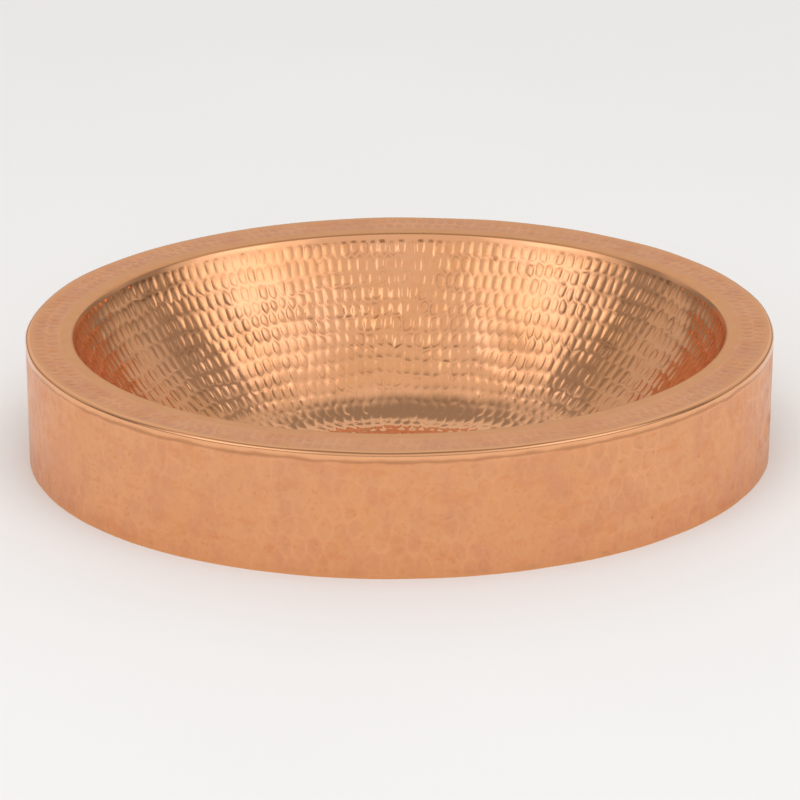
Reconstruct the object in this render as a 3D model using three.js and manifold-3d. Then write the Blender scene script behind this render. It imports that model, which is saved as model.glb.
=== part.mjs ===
// An oval wash basin of hammered copper. Its skirt stands on a counter, and its bowl and drain hang down
// through the counter's cut-out. Millimetres, +Z up, +X along the basin's length. The origin is the centre
// of the skirt's foot, level with the counter's top.
import * as THREE from 'three';
import { mergeVertices } from 'three/addons/utils/BufferGeometryUtils.js';
import Module from 'manifold-3d';

// The basin
const LENGTH = 431.8;
const WIDTH = 342.9;
const RIM_HEIGHT = 76.2;
const RIM_WIDTH = 25.4;
const BOWL_DEPTH = 101.6;
const SHEET = 1.5;
const LIP_RADIUS = 2.5;
const LIP_LAND = 5;
const EDGE_RADIUS = 3.5;
const EDGE_LEG = 2;
const FOOT_WIDTH = 12;
const WALL_TOP_SLOPE = THREE.MathUtils.degToRad(64);
const WALL_FOOT_SLOPE = THREE.MathUtils.degToRad(43);
const FLOOR_SLOPE = THREE.MathUtils.degToRad(3);
const CORNER_RADIUS = 36;

// The recess round the drain
const RECESS_DEPTH = 3;
const RECESS_CLEARANCE = 3;
const RECESS_SLOPE = THREE.MathUtils.degToRad(55);
const RECESS_RADIUS = 2.5;

// The drain
const BODY_DIAMETER = 38;
const BODY_LENGTH = 60;
const BORE = 32;
const HOLE_CLEARANCE = 2;
const FLANGE_DIAMETER = 66;
const FLANGE_THICKNESS = 2.4;
const FLANGE_EDGE = 0.8;
const SEAT_DEPTH = 3;
const FLANGE_GASKET_MARGIN = 3;
const FLANGE_GASKET_THICKNESS = 1.2;
const CONE_GASKET_LAP = 3;
const CONE_GASKET_FLARE = 5;
const CONE_GASKET_HEIGHT = 8;
const WASHER_MARGIN = 1;
const WASHER_THICKNESS = 1.2;
const NUT_WALL = 7;
const NUT_HEIGHT = 8;

// The push-button plug and its cartridge
const PLUG_TRAVEL = 9;
const CAP_DIAMETER = 48;
const CAP_EDGE = 2;
const CAP_RISE = 4;
const CAP_BOSS_DIAMETER = 12;
const SEAL_OVERLAP = 1.6;
const SEAL_THICKNESS = 2.5;
const STEM_DIAMETER = 7;
const STEM_SOCKET = 3;
const CARTRIDGE_DIAMETER = 15;
const CARTRIDGE_LENGTH = 37;
const CARTRIDGE_WALL = 1.2;
const CARTRIDGE_TOP_DEPTH = 7;
const CARTRIDGE_HEAD_DIAMETER = 20;
const CARTRIDGE_HEAD = 2.7;
const CARTRIDGE_BUSH = 3;
const PISTON_THICKNESS = 3;
const END_PLUG_THICKNESS = 3;
const NIB_HEIGHT = 2;
const HUB_WALL = 3.2;
const HUB_HEIGHT = 6;
const ARM_WIDTH = 3.5;
const ARMS = 3;
const SPRING_DIAMETER = 10;
const SPRING_WIRE = 1.2;
const SPRING_TURNS = 7;

// Clearances
const JOINT_GAP = 0.3; // between pieces that are brazed, screwed or clamped together
const SLIDING_GAP = 0.35; // between the plunger and the cartridge

// How finely the round shapes are divided
const OVAL_STEPS = 56;
const ROUND_STEPS = 32;
const WIRE_STEPS = 3; // in each half of the wire's section
const STEPS_PER_TURN = 12;

// Levels and radii that several pieces share
const LIP_START = LENGTH / 2 - RIM_WIDTH;
const SEAT_LEVEL = RIM_HEIGHT - BOWL_DEPTH;
const BODY_RADIUS = BODY_DIAMETER / 2;
const BORE_RADIUS = BORE / 2;
const FLANGE_RADIUS = FLANGE_DIAMETER / 2;
const HOLE_RADIUS = BODY_RADIUS + HOLE_CLEARANCE;
const RECESS_FLAT = FLANGE_RADIUS + RECESS_CLEARANCE;
const FLANGE_LEVEL = SEAT_LEVEL + FLANGE_GASKET_THICKNESS + 2 * JOINT_GAP;
const CONE_GASKET_TOP = HOLE_RADIUS + CONE_GASKET_LAP;
const CONE_GASKET_BOTTOM = CONE_GASKET_TOP + CONE_GASKET_FLARE;
const CONE_GASKET_LEVEL = SEAT_LEVEL - SHEET - JOINT_GAP;
const WASHER_LEVEL = CONE_GASKET_LEVEL - CONE_GASKET_HEIGHT - JOINT_GAP;
const NUT_LEVEL = WASHER_LEVEL - WASHER_THICKNESS - JOINT_GAP;
const SEAT_FOOT_LEVEL = FLANGE_LEVEL + FLANGE_THICKNESS - FLANGE_EDGE - SEAT_DEPTH;
const SEAL_RADIUS = BORE_RADIUS + SEAL_OVERLAP;
const SEAL_LEVEL = SEAT_FOOT_LEVEL + SEAL_OVERLAP + 1.5 * JOINT_GAP + PLUG_TRAVEL;
const CAP_LEVEL = SEAL_LEVEL + SEAL_THICKNESS + JOINT_GAP;
const BOSS_RADIUS = CAP_BOSS_DIAMETER / 2;
const STEM_RADIUS = STEM_DIAMETER / 2;
const CARTRIDGE_RADIUS = CARTRIDGE_DIAMETER / 2;
const CARTRIDGE_BORE = CARTRIDGE_RADIUS - CARTRIDGE_WALL;
const CARTRIDGE_TOP = SEAT_LEVEL - CARTRIDGE_TOP_DEPTH;
const CARTRIDGE_FOOT = CARTRIDGE_TOP - CARTRIDGE_LENGTH;
const BUSH_LEVEL = CARTRIDGE_TOP - CARTRIDGE_BUSH;
const HUB_TOP = CARTRIDGE_TOP - CARTRIDGE_HEAD - JOINT_GAP;
const END_PLUG_TOP = CARTRIDGE_FOOT + END_PLUG_THICKNESS;
const PISTON_TOP = BUSH_LEVEL - JOINT_GAP;
const PISTON_FOOT = PISTON_TOP - PISTON_THICKNESS;
const NIB_RADIUS = SPRING_DIAMETER / 2 - SPRING_WIRE - JOINT_GAP;

const wasm = await Module();
wasm.setup();

const basin = new THREE.Group();

function addPiece(name, geometry, color, roughness, metalness) {
  const material = new THREE.MeshStandardMaterial({ color, roughness, metalness });
  const mesh = new THREE.Mesh(geometry, material);
  mesh.name = name;
  basin.add(mesh);
}

const polishedCopper = (name, geometry) => addPiece(name, geometry, 0xd98a5f, 0.18, 1);
const satinCopper = (name, geometry) => addPiece(name, geometry, 0xd2895f, 0.38, 1);
const platedBrass = (name, geometry) => addPiece(name, geometry, 0xc98258, 0.3, 1);
const blackRubber = (name, geometry) => addPiece(name, geometry, 0x1d1d1e, 0.8, 0);

// Turns an outline of [radius, level] points round the Z axis. The outline closes on itself, or starts
// and ends on the axis.
function turned(outline, steps = ROUND_STEPS) {
  const points = outline.map(([radius, level]) => new THREE.Vector2(radius, level));
  const onAxis = points[0].x === 0 && points.at(-1).x === 0;
  if (THREE.ShapeUtils.isClockWise(points)) points.reverse();
  if (!onAxis) points.push(points[0].clone());
  return new THREE.LatheGeometry(points, steps).rotateX(Math.PI / 2);
}

// A plain ring between two radii and two levels.
function ring(inner, outer, bottom, top) {
  return turned([[inner, bottom], [outer, bottom], [outer, top], [inner, top]]);
}

// How much shorter an oval's short half-axis is than its long one. It is the same under the whole rim,
// and dies away down the bowl, so that the drain is round.
function shorterBy(radius) {
  const share = THREE.MathUtils.clamp((radius - RECESS_FLAT) / (LIP_START - RECESS_FLAT), 0, 1);
  return (LENGTH - WIDTH) / 2 * (1 - (1 - share) ** 2);
}

// Turns an outline drawn on the long axis, then draws in its sides to make it oval.
function oval(outline) {
  const geometry = turned(outline, OVAL_STEPS);
  const position = geometry.getAttribute('position');
  for (let i = 0; i < position.count; i++) {
    const radius = Math.hypot(position.getX(i), position.getY(i));
    position.setY(i, position.getY(i) * (radius - shorterBy(radius)) / radius);
  }
  return geometry;
}

// Adds to a path the points of a bend that starts at its last point and runs inwards, while the slope
// below the horizontal turns evenly to a new value.
function bend(path, slope, radius, steps) {
  const start = path.at(-1);
  for (let i = 1; i <= steps; i++) {
    const angle = THREE.MathUtils.lerp(start.slope, slope, i / steps);
    path.push({
      radius: start.radius - radius * Math.abs(Math.sin(angle) - Math.sin(start.slope)),
      level: start.level - radius * Math.abs(Math.cos(start.slope) - Math.cos(angle)),
      slope: angle,
    });
  }
}

function straightTo(path, radius) {
  const { radius: from, level, slope } = path.at(-1);
  path.push({ radius, level: level - (from - radius) * Math.tan(slope), slope });
}

// The drop and the run of a bend of unit radius between two slopes.
const dropOf = (from, to) => Math.abs(Math.cos(from) - Math.cos(to));
const runOf = (from, to) => Math.abs(Math.sin(from) - Math.sin(to));

// The wall is one shallow curve, and its radius is the one that brings the drain's seat to BOWL_DEPTH.
function wallRadius() {
  const recessBends = dropOf(FLOOR_SLOPE, RECESS_SLOPE) + dropOf(RECESS_SLOPE, 0);
  const recessRun = runOf(FLOOR_SLOPE, RECESS_SLOPE) + runOf(RECESS_SLOPE, 0);
  const recessStraight = RECESS_DEPTH - RECESS_RADIUS * recessBends;
  const recessEdge = RECESS_FLAT + RECESS_RADIUS * recessRun + recessStraight / Math.tan(RECESS_SLOPE);
  const floorRun = LIP_START - recessEdge
    - LIP_RADIUS * runOf(0, WALL_TOP_SLOPE) - CORNER_RADIUS * runOf(WALL_FOOT_SLOPE, FLOOR_SLOPE);
  const drop = BOWL_DEPTH - RECESS_DEPTH
    - LIP_RADIUS * dropOf(0, WALL_TOP_SLOPE) - CORNER_RADIUS * dropOf(WALL_FOOT_SLOPE, FLOOR_SLOPE);
  const fall = Math.tan(FLOOR_SLOPE);
  return (drop - fall * floorRun)
    / (dropOf(WALL_TOP_SLOPE, WALL_FOOT_SLOPE) - fall * runOf(WALL_TOP_SLOPE, WALL_FOOT_SLOPE));
}

// One sheet, raised into a bowl. Its lip is turned out flat, and its floor is sunk round the drain hole.
function makeBowl() {
  const path = [{ radius: LIP_START + LIP_LAND, level: RIM_HEIGHT, slope: 0 }];
  straightTo(path, LIP_START);
  bend(path, WALL_TOP_SLOPE, LIP_RADIUS, 3);
  bend(path, WALL_FOOT_SLOPE, wallRadius(), 6);
  bend(path, FLOOR_SLOPE, CORNER_RADIUS, 4);
  const recessStraight = RECESS_DEPTH
    - RECESS_RADIUS * (dropOf(FLOOR_SLOPE, RECESS_SLOPE) + dropOf(RECESS_SLOPE, 0));
  const toeRadius = RECESS_FLAT + RECESS_RADIUS * runOf(RECESS_SLOPE, 0);
  const brinkRadius = toeRadius + recessStraight / Math.tan(RECESS_SLOPE);
  straightTo(path, brinkRadius + RECESS_RADIUS * runOf(FLOOR_SLOPE, RECESS_SLOPE));
  bend(path, RECESS_SLOPE, RECESS_RADIUS, 1);
  straightTo(path, toeRadius);
  bend(path, 0, RECESS_RADIUS, 1);
  straightTo(path, HOLE_RADIUS);
  const upper = path.map(({ radius, level }) => [radius, level]);
  const under = path.map(({ radius, level, slope }) => (
    [radius + SHEET * Math.sin(slope), level - SHEET * Math.cos(slope)]));
  polishedCopper('bowl', oval([...upper, ...under.reverse()]));
}

// A quarter bend in a sheet, from its flat stretch down to its upright one, as [radius, level] points.
function quarterBend(centreRadius, centreLevel, radius, steps) {
  const points = [];
  for (let i = 0; i <= steps; i++) {
    const angle = Math.PI / 2 * (1 - i / steps);
    points.push([centreRadius + radius * Math.cos(angle), centreLevel + radius * Math.sin(angle)]);
  }
  return points;
}

// A flat oval ring, brazed to the bowl's lip. Its outer edge is turned down to meet the skirt.
function makeRimDeck() {
  const inner = LIP_START + LIP_LAND + JOINT_GAP;
  const bendRadius = LENGTH / 2 - EDGE_RADIUS;
  const bendLevel = RIM_HEIGHT - EDGE_RADIUS;
  satinCopper('rim_deck', oval([
    [inner, RIM_HEIGHT],
    ...quarterBend(bendRadius, bendLevel, EDGE_RADIUS, 4),
    [LENGTH / 2, bendLevel - EDGE_LEG],
    [LENGTH / 2 - SHEET, bendLevel - EDGE_LEG],
    ...quarterBend(bendRadius, bendLevel, EDGE_RADIUS - SHEET, 3).reverse(),
    [inner, RIM_HEIGHT - SHEET],
  ]));
}

// An upright band, brazed end to end and under the deck's edge.
function makeSkirt() {
  const top = RIM_HEIGHT - EDGE_RADIUS - EDGE_LEG - JOINT_GAP;
  satinCopper('skirt', oval([
    [LENGTH / 2, top], [LENGTH / 2, 0], [LENGTH / 2 - SHEET, 0], [LENGTH / 2 - SHEET, top],
  ]));
}

// A flat ring, brazed inside the skirt's lower edge, that the basin stands on.
function makeSkirtFoot() {
  const outer = LENGTH / 2 - SHEET - JOINT_GAP;
  satinCopper('skirt_foot', oval([
    [outer, 0], [outer, SHEET], [outer - FOOT_WIDTH, SHEET], [outer - FOOT_WIDTH, 0],
  ]));
}

function toSolid(geometry) {
  geometry.deleteAttribute('normal');
  geometry.deleteAttribute('uv');
  const merged = mergeVertices(geometry);
  return new wasm.Manifold(new wasm.Mesh({
    numProp: 3,
    vertProperties: merged.getAttribute('position').array,
    triVerts: new Uint32Array(merged.getIndex().array),
  }));
}

function toGeometry(solid) {
  const { vertProperties, triVerts } = solid.getMesh();
  const geometry = new THREE.BufferGeometry();
  geometry.setAttribute('position', new THREE.BufferAttribute(vertProperties, 3));
  geometry.setIndex(new THREE.BufferAttribute(triVerts, 1));
  geometry.computeVertexNormals();
  return geometry;
}

// The body's flange, tube and three-armed hub are one casting. The tube's outside is threaded.
function makeDrainBody() {
  const top = FLANGE_LEVEL + FLANGE_THICKNESS;
  const foot = SEAT_LEVEL - BODY_LENGTH;
  let body = toSolid(turned([
    [BORE_RADIUS, foot],
    [BODY_RADIUS, foot],
    [BODY_RADIUS, FLANGE_LEVEL],
    [FLANGE_RADIUS - FLANGE_EDGE, FLANGE_LEVEL],
    [FLANGE_RADIUS, FLANGE_LEVEL + FLANGE_EDGE],
    [FLANGE_RADIUS - FLANGE_EDGE, top - FLANGE_EDGE / 4],
    [FLANGE_RADIUS - 3 * FLANGE_EDGE, top],
    [BORE_RADIUS + SEAT_DEPTH, top - FLANGE_EDGE],
    [BORE_RADIUS, SEAT_FOOT_LEVEL],
  ]));
  const hubInner = CARTRIDGE_RADIUS + JOINT_GAP;
  body = body.add(toSolid(ring(hubInner, hubInner + HUB_WALL, HUB_TOP - HUB_HEIGHT, HUB_TOP)));
  const armFrom = hubInner + HUB_WALL / 2;
  const armTo = (BORE_RADIUS + BODY_RADIUS) / 2;
  for (let i = 0; i < ARMS; i++) {
    const arm = new THREE.BoxGeometry(armTo - armFrom, ARM_WIDTH, HUB_HEIGHT)
      .translate((armFrom + armTo) / 2, 0, HUB_TOP - HUB_HEIGHT / 2)
      .rotateZ((2 * i + 1) * Math.PI / ARMS);
    body = body.add(toSolid(arm));
  }
  platedBrass('drain_body', toGeometry(body));
}

// What clamps the drain to the bowl: a flat gasket under the flange, and below the bowl a tapered
// gasket, a slip washer and a hexagonal back nut.
function makeDrainClamp() {
  const inner = BODY_RADIUS + JOINT_GAP;
  blackRubber('flange_gasket', ring(
    inner, FLANGE_RADIUS - FLANGE_GASKET_MARGIN, SEAT_LEVEL + JOINT_GAP, FLANGE_LEVEL - JOINT_GAP,
  ));
  blackRubber('cone_gasket', turned([
    [inner, CONE_GASKET_LEVEL - CONE_GASKET_HEIGHT],
    [CONE_GASKET_BOTTOM, CONE_GASKET_LEVEL - CONE_GASKET_HEIGHT],
    [CONE_GASKET_TOP, CONE_GASKET_LEVEL],
    [inner, CONE_GASKET_LEVEL],
  ]));
  addPiece('slip_washer', ring(
    inner, CONE_GASKET_BOTTOM - WASHER_MARGIN, WASHER_LEVEL - WASHER_THICKNESS, WASHER_LEVEL,
  ), 0xe8e6df, 0.6, 0);
  const corner = 2 * (BODY_RADIUS + NUT_WALL) / Math.sqrt(3);
  const hexagon = new THREE.Shape();
  for (let i = 0; i < 6; i++) {
    const angle = i * Math.PI / 3;
    if (i === 0) hexagon.moveTo(corner, 0);
    else hexagon.lineTo(corner * Math.cos(angle), corner * Math.sin(angle));
  }
  hexagon.closePath();
  hexagon.holes.push(new THREE.Path().absarc(0, 0, inner, 0, 2 * Math.PI, true));
  platedBrass('back_nut', new THREE.ExtrudeGeometry(hexagon, {
    depth: NUT_HEIGHT, bevelEnabled: false, curveSegments: ROUND_STEPS,
  }).translate(0, 0, NUT_LEVEL - NUT_HEIGHT));
}

// The cartridge screws into the drain's hub. Its housing guides the plunger, and a plug pressed into
// its foot carries the spring.
function makeCartridge() {
  platedBrass('cartridge_housing', turned([
    [CARTRIDGE_BORE, CARTRIDGE_FOOT],
    [CARTRIDGE_RADIUS, CARTRIDGE_FOOT],
    [CARTRIDGE_RADIUS, CARTRIDGE_TOP - CARTRIDGE_HEAD],
    [CARTRIDGE_HEAD_DIAMETER / 2, CARTRIDGE_TOP - CARTRIDGE_HEAD],
    [CARTRIDGE_HEAD_DIAMETER / 2, CARTRIDGE_TOP],
    [STEM_RADIUS + SLIDING_GAP, CARTRIDGE_TOP],
    [STEM_RADIUS + SLIDING_GAP, BUSH_LEVEL],
    [CARTRIDGE_BORE, BUSH_LEVEL],
  ]));
  platedBrass('cartridge_end_plug', turned([
    [0, CARTRIDGE_FOOT],
    [CARTRIDGE_BORE - JOINT_GAP, CARTRIDGE_FOOT],
    [CARTRIDGE_BORE - JOINT_GAP, END_PLUG_TOP],
    [NIB_RADIUS, END_PLUG_TOP],
    [NIB_RADIUS, END_PLUG_TOP + NIB_HEIGHT],
    [0, END_PLUG_TOP + NIB_HEIGHT],
  ]));
}

// A helix that goes round SPRING_TURNS times between two levels.
class SpringCurve extends THREE.Curve {
  constructor(radius, bottom, top) {
    super();
    Object.assign(this, { radius, bottom, top });
  }

  getPoint(t, target = new THREE.Vector3()) {
    const angle = 2 * Math.PI * SPRING_TURNS * t;
    const level = THREE.MathUtils.lerp(this.bottom, this.top, t);
    return target.set(this.radius * Math.cos(angle), this.radius * Math.sin(angle), level);
  }
}

function makeSpring() {
  const section = new THREE.Shape().absarc(0, 0, SPRING_WIRE / 2, 0, 2 * Math.PI);
  const room = SPRING_WIRE / 2 + JOINT_GAP;
  const curve = new SpringCurve((SPRING_DIAMETER - SPRING_WIRE) / 2, END_PLUG_TOP + room, PISTON_FOOT - room);
  addPiece('return_spring', new THREE.ExtrudeGeometry(section, {
    extrudePath: curve, steps: SPRING_TURNS * STEPS_PER_TURN, curveSegments: WIRE_STEPS,
  }), 0xb9bcc0, 0.3, 1);
}

// The plunger: a rod with a piston that the spring pushes up against the cartridge's bush.
function makePlunger() {
  const pistonRadius = CARTRIDGE_BORE - SLIDING_GAP;
  const top = CAP_LEVEL + STEM_SOCKET - JOINT_GAP;
  addPiece('plunger_stem', turned([
    [0, PISTON_FOOT - NIB_HEIGHT],
    [NIB_RADIUS, PISTON_FOOT - NIB_HEIGHT],
    [NIB_RADIUS, PISTON_FOOT],
    [pistonRadius, PISTON_FOOT],
    [pistonRadius, PISTON_TOP],
    [STEM_RADIUS, PISTON_TOP],
    [STEM_RADIUS, top],
    [0, top],
  ]), 0xc4c6c8, 0.25, 1);
}

// A domed cap, shown open. Its boss takes the plunger's end and carries the rubber seal.
function makePlug() {
  const capRadius = CAP_DIAMETER / 2;
  const dome = [];
  const domeSteps = 5;
  for (let i = 0; i <= domeSteps; i++) {
    const share = i / domeSteps;
    dome.push([capRadius * (1 - share), CAP_LEVEL + CAP_EDGE + CAP_RISE * (1 - (1 - share) ** 2)]);
  }
  platedBrass('plug_cap', turned([
    [0, CAP_LEVEL + STEM_SOCKET],
    [STEM_RADIUS + JOINT_GAP, CAP_LEVEL + STEM_SOCKET],
    [STEM_RADIUS + JOINT_GAP, SEAL_LEVEL],
    [BOSS_RADIUS, SEAL_LEVEL],
    [BOSS_RADIUS, CAP_LEVEL],
    [capRadius, CAP_LEVEL],
    ...dome,
  ]));
  blackRubber('plug_seal', ring(
    BOSS_RADIUS + JOINT_GAP, SEAL_RADIUS, SEAL_LEVEL, SEAL_LEVEL + SEAL_THICKNESS,
  ));
}

makeBowl();
makeRimDeck();
makeSkirt();
makeSkirtFoot();
makeDrainBody();
makeDrainClamp();
makeCartridge();
makeSpring();
makePlunger();
makePlug();

export default basin;
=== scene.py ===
# A wash basin of hammered copper: an oval bowl hung in a flat rim, with an upright skirt that stands on
# the counter, and a push-button drain. Everything is in metres, and +Z is up. The origin is the centre of
# the skirt's foot, level with the counter's top.
import math

import bmesh
import bpy
import numpy as np
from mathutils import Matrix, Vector, geometry


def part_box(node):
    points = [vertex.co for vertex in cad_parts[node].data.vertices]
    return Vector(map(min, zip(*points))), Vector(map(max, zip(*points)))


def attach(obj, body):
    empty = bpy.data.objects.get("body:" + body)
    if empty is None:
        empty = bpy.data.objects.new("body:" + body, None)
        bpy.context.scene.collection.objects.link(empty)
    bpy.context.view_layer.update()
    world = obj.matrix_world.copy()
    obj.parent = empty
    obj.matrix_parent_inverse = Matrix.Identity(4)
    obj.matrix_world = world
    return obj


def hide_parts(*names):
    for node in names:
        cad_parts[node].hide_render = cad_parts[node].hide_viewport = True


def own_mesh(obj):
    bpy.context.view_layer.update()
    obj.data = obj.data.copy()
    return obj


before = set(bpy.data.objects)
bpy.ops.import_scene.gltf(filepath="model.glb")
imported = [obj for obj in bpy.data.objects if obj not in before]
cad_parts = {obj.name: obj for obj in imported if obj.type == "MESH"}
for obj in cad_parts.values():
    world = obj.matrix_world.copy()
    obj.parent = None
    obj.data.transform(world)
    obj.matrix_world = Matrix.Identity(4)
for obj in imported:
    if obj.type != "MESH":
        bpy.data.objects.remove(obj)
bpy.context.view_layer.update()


# --------------------
# The bowl. One sheet of copper, raised over a stake by rows of blows from a narrow hammer. Each blow leaves
# a long shallow dish, and the metal stands up between dishes as a rounded ridge. The lip is turned out flat
# and brazed to the rim. The floor is sunk round the drain hole.

MM = 0.001
TURN = 2 * math.pi
SHEET = 1.5 * MM
RIM_WIDTH = 25.4 * MM
LIP_WIDTH = 5.3 * MM
LIP_STEPS = 3
LIP_RADIUS = 2.5 * MM
LIP_BEND_STEPS = 8
CORNER_RADIUS = 58 * MM
FLANGE_ROOM = 3 * MM
BRINK_RISE = 4.6 * MM
RECESS_DEPTH = 3 * MM
RECESS_RADIUS = 2.5 * MM
TOE_RADIUS = 1.2 * MM
DRAIN_HOLE = 21 * MM
HAIRLINE = 0.01 * MM
WALL_TOP_SLOPE = math.radians(64)
WALL_FOOT_SLOPE = math.radians(43)
FLOOR_SLOPE = math.radians(3)
RECESS_SLOPE = math.radians(50)

half_length, half_width, rim_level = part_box("rim_deck")[1]
lip_start = half_length - RIM_WIDTH
lip_edge = (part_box("bowl")[1].x + lip_start + LIP_WIDTH) / 2
seat_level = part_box("bowl")[0].z + SHEET
recess_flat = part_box("drain_body")[1].x + FLANGE_ROOM
recess_brink = recess_flat + BRINK_RISE


def bend(path, slope, radius, steps):
    """Goes on along a path of (run, radius, level, slope), while its slope turns evenly to a new value."""
    run, start_radius, level, start = path[-1]
    for step in range(1, steps + 1):
        angle = start + (slope - start) * step / steps
        path.append((
            run + radius * abs(angle - start),
            start_radius - radius * abs(math.sin(angle) - math.sin(start)),
            level - radius * abs(math.cos(start) - math.cos(angle)),
            angle,
        ))


def straight(path, radius, steps=1):
    """Goes straight on, at the slope that the path has, to a new radius."""
    run, start_radius, level, slope = path[-1]
    for step in range(1, steps + 1):
        inwards = (start_radius - radius) * step / steps
        path.append((
            run + inwards / math.cos(slope),
            start_radius - inwards,
            level - inwards * math.tan(slope),
            slope,
        ))


def bowl_wall(wall_radius):
    """The bowl's section over its long axis, from the lip's outer edge to the brink of the recess."""
    path = [(0.0, lip_edge - HAIRLINE, rim_level, 0.0)]
    straight(path, lip_start, LIP_STEPS)
    bend(path, WALL_TOP_SLOPE, LIP_RADIUS, LIP_BEND_STEPS)
    bend(path, WALL_FOOT_SLOPE, wall_radius, 60)
    bend(path, FLOOR_SLOPE, CORNER_RADIUS, 24)
    straight(path, recess_brink, 4)
    return path


# The wall is one shallow curve. Two trial radii, in metres, show how the floor's level follows from it, and
# the wall takes the radius that brings the floor down to the recess.
flatter, rounder = (bowl_wall(radius)[-1][2] for radius in (0.2, 0.3))
wall_radius = 0.2 + 0.1 * (flatter - seat_level - RECESS_DEPTH) / (flatter - rounder)
bowl_section = bowl_wall(wall_radius)
lip_run = bowl_section[LIP_STEPS + LIP_BEND_STEPS][0]
brink_run = bowl_section[-1][0]
bend(bowl_section, RECESS_SLOPE, RECESS_RADIUS, 5)
fall = bowl_section[-1][2] - seat_level - TOE_RADIUS * (1 - math.cos(RECESS_SLOPE))
straight(bowl_section, bowl_section[-1][1] - fall / math.tan(RECESS_SLOPE))
bend(bowl_section, 0.0, TOE_RADIUS, 6)
straight(bowl_section, DRAIN_HOLE, 3)
bowl_section = np.array(bowl_section)


def shorter_by(radius):
    """How much shorter an oval's half-width is than its half-length. It fades down to the round drain."""
    share = np.clip((radius - recess_flat) / (lip_start - recess_flat), 0, 1)
    return (half_length - half_width) * (1 - (1 - share) ** 2)


def on_sheet(section, theta, run):
    """Points of a sheet, at angles round the oval and at lengths along its section."""
    radius = np.interp(run, section[:, 0], section[:, 1])
    level = np.interp(run, section[:, 0], section[:, 2])
    across = radius - shorter_by(radius)
    return np.stack((radius * np.cos(theta), across * np.sin(theta), level), axis=-1)


def facing(section, theta, run):
    """The directions that a sheet faces at those points."""
    turn_step = 1e-4
    run_step = 0.02 * MM
    round_it = on_sheet(section, theta + turn_step, run) - on_sheet(section, theta - turn_step, run)
    last = section[-1, 0]
    up_it = (on_sheet(section, theta, np.minimum(run + run_step, last))
             - on_sheet(section, theta, np.maximum(run - run_step, 0)))
    normal = np.cross(round_it, up_it)
    return normal / np.linalg.norm(normal, axis=-1, keepdims=True)


def girth(section, run):
    """The way round the sheet at one length along its section, as running sums at even angles."""
    theta = np.linspace(0, TURN, 1441)
    points = on_sheet(section, theta, np.full_like(theta, run))
    steps = np.linalg.norm(np.diff(points, axis=0), axis=1)
    return theta, np.concatenate(([0], np.cumsum(steps)))


# Rows lie closer than a mark is wide, so each mark is cut off above and below by its neighbours.
ROW_OVERLAP = 0.8
SEAM_LAP = 0.6


def hammer_rows(rng, sizes, wobble, jitter):
    """Where the blows fall: rows, one above another, of points (angle, height) on the flattened sheet."""
    rows = []
    height = 0.0
    for row, size in enumerate(sizes):
        count = round(TURN / size)
        angle = (np.arange(count) + 0.5 * (row % 2) + rng.uniform(-0.12, 0.12)) * TURN / count
        sway = sum(
            rng.normal() * np.sin(angle * rng.integers(2, 15) + rng.uniform(0, TURN)) for _ in range(4)
        )
        middle = height + size / 2 + wobble * size * sway / 2 * (0 < row < len(sizes) - 1)
        rows.append(np.stack((
            angle + rng.uniform(-jitter, jitter, count) * size,
            (middle + rng.uniform(-jitter, jitter, count) * size) * ROW_OVERLAP,
        ), axis=1))
        height += size
    return rows, height * ROW_OVERLAP


def blow_outlines(rows, top):
    """The outline that each blow's neighbours leave it: (middle, corners) for every blow."""
    real = np.concatenate(rows)
    mirrored = [row * (1, -1) for row in rows[:2]] + [row * (1, -1) + (0, 2 * top) for row in rows[-2:]]
    seeds = np.concatenate([real] + mirrored)
    near_start = seeds[seeds[:, 0] < SEAM_LAP] + (TURN, 0)
    near_end = seeds[seeds[:, 0] > TURN - SEAM_LAP] - (TURN, 0)
    seeds = np.concatenate((seeds, near_start, near_end))
    points, _, triangles, origins, _, _ = geometry.delaunay_2d_cdt(
        [Vector(seed) for seed in seeds], [], [], 0, 1e-9)
    around = {}
    for triangle in triangles:
        a, b, c = (np.array(points[i]) for i in triangle)
        ab, ac = b - a, c - a
        twice = 2 * (ab[0] * ac[1] - ab[1] * ac[0])
        if abs(twice) < 1e-12:
            continue
        squares = np.array((ab @ ab, ac @ ac))
        centre = a + np.array((ac[1] * squares[0] - ab[1] * squares[1],
                               ab[0] * squares[1] - ac[0] * squares[0])) / twice
        for corner in triangle:
            around.setdefault(corner, []).append(centre)
    outlines = []
    for point, came_from in enumerate(origins):
        if came_from[0] < len(real):
            middle = np.array(points[point])
            corners = np.array(around[point])
            order = np.argsort(np.arctan2(corners[:, 1] - middle[1], corners[:, 0] - middle[0]))
            outlines.append((middle, corners[order]))
    return outlines


def stitch(mesh, lower, upper):
    """Joins two rings, each a list of (angle, corner) in order of angle, by a belt of triangles."""
    i = j = 0
    while i < len(lower) or j < len(upper):
        next_lower = lower[i + 1][0] if i + 1 < len(lower) else lower[0][0] + TURN
        next_upper = upper[j + 1][0] if j + 1 < len(upper) else upper[0][0] + TURN
        here = lower[i % len(lower)][1]
        there = upper[j % len(upper)][1]
        if j >= len(upper) or (i < len(lower) and next_lower <= next_upper):
            mesh.faces.new((here, lower[(i + 1) % len(lower)][1], there))
            i += 1
        else:
            mesh.faces.new((here, upper[(j + 1) % len(upper)][1], there))
            j += 1


def finish_mesh(name, mesh, sharp=40, closed=True):
    """Makes a piece of a finished mesh, with its smooth faces shaded smooth."""
    if closed:
        bmesh.ops.recalc_face_normals(mesh, faces=mesh.faces)
    data = bpy.data.meshes.new(name)
    mesh.to_mesh(data)
    mesh.free()
    data.shade_smooth()
    data.set_sharp_from_angle(angle=math.radians(sharp))
    piece = bpy.data.objects.new(name, data)
    bpy.context.scene.collection.objects.link(piece)
    return piece


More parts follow.
